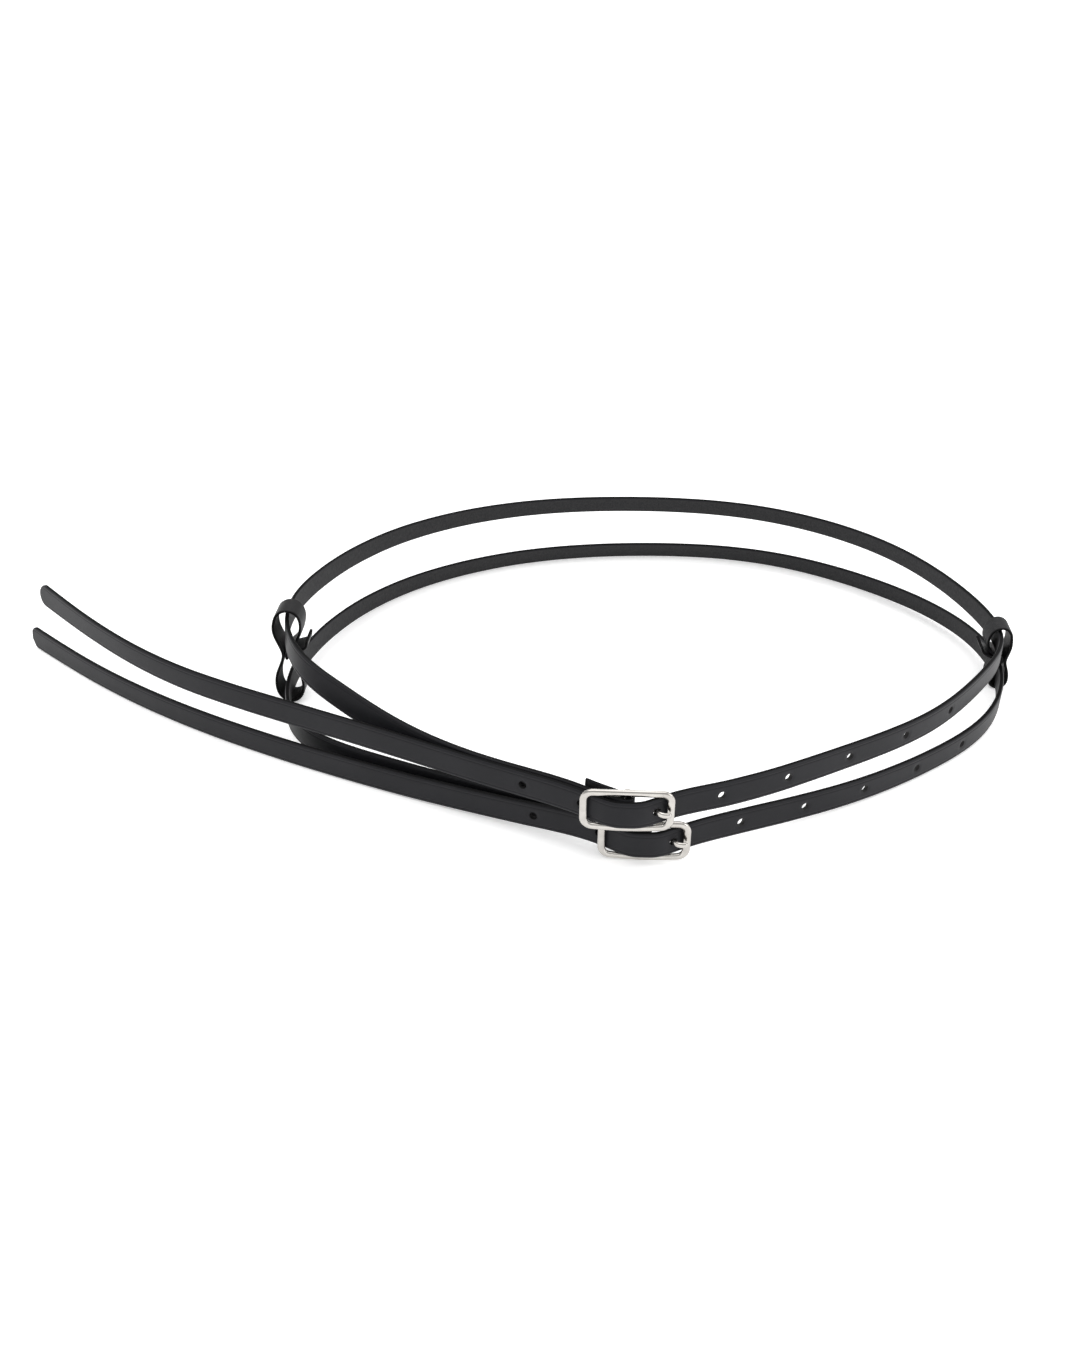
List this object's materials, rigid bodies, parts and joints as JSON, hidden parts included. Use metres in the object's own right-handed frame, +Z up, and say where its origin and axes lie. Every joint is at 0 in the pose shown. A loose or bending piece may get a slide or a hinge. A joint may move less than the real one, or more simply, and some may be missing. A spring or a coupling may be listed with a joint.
{
  "type": "double-strap leather belt",
  "caption": "Leather belt of two narrow parallel straps, each closed by a double-bar buckle with a prong, joined at the sides by figure-eight leather loops.",
  "frame": {"origin": "centre of the belt's bounding box, on the surface that it stands on", "axes": "+X to the wearer's left, which is the viewer's right, +Y towards the back of the belt, away from the buckles, +Z up, towards the upper strap"},
  "size_m": [0.4457, 0.2695, 0.0444],
  "materials": {
    "strap_leather": "charcoal black finished leather, satin, with darker painted edges",
    "connector_leather": "the same charcoal black leather, thinner, satin",
    "frame_nickel": "polished nickel plating",
    "prong_nickel": "polished nickel plating",
    "thread": "waxed black thread"
  },
  "bodies": {
    "lower_belt": {"lower_strap": "strap_leather", "lower_turnback_stitching": "thread"},
    "upper_belt": {"upper_strap": "strap_leather", "upper_turnback_stitching": "thread"},
    "lower_buckle": {"lower_buckle_frame": "frame_nickel"},
    "upper_buckle": {"upper_buckle_frame": "frame_nickel"},
    "lower_tongue": {"lower_prong": "prong_nickel"},
    "upper_tongue": {"upper_prong": "prong_nickel"},
    "left_loop": {"left_connector": "connector_leather", "left_connector_stitching": "thread"},
    "right_loop": {"right_connector": "connector_leather", "right_connector_stitching": "thread"}
  },
  "joints": [
    {"name": "upper_belt_tilt", "type": "hinge", "parent": "lower_belt", "child": "upper_belt", "pos_m": [-0.09053, -0.01672, 0.0354], "axis": [-0.9984, -0.0379, 0.0412], "range_deg": [0, 2]},
    {"name": "lower_buckle_pivot", "type": "hinge", "parent": "lower_belt", "child": "lower_buckle", "pos_m": [0.05171, -0.12672, 0.0089], "axis": [0, 0, 1], "range_deg": [-1, 0.5]},
    {"name": "upper_buckle_pivot", "type": "hinge", "parent": "upper_belt", "child": "upper_buckle", "pos_m": [0.04501, -0.12972, 0.0238], "axis": [0, 0, 1], "range_deg": [-1, 1]},
    {"name": "lower_prong_pivot", "type": "hinge", "parent": "lower_buckle", "child": "lower_tongue", "pos_m": [0.05171, -0.12672, 0.0089], "axis": [0, 0, -1], "range_deg": [0, 5]},
    {"name": "upper_prong_pivot", "type": "hinge", "parent": "upper_buckle", "child": "upper_tongue", "pos_m": [0.04501, -0.12972, 0.0238], "axis": [0, 0, -1], "range_deg": [0, 5]},
    {"name": "left_loop_slide", "type": "slide", "parent": "lower_belt", "child": "left_loop", "axis": [0, 1, 0], "range_m": [-0.003, 0.008]},
    {"name": "right_loop_slide", "type": "slide", "parent": "lower_belt", "child": "right_loop", "axis": [0.1564, 0.9877, 0], "range_m": [-0.0025, 0.0012]}
  ]
}
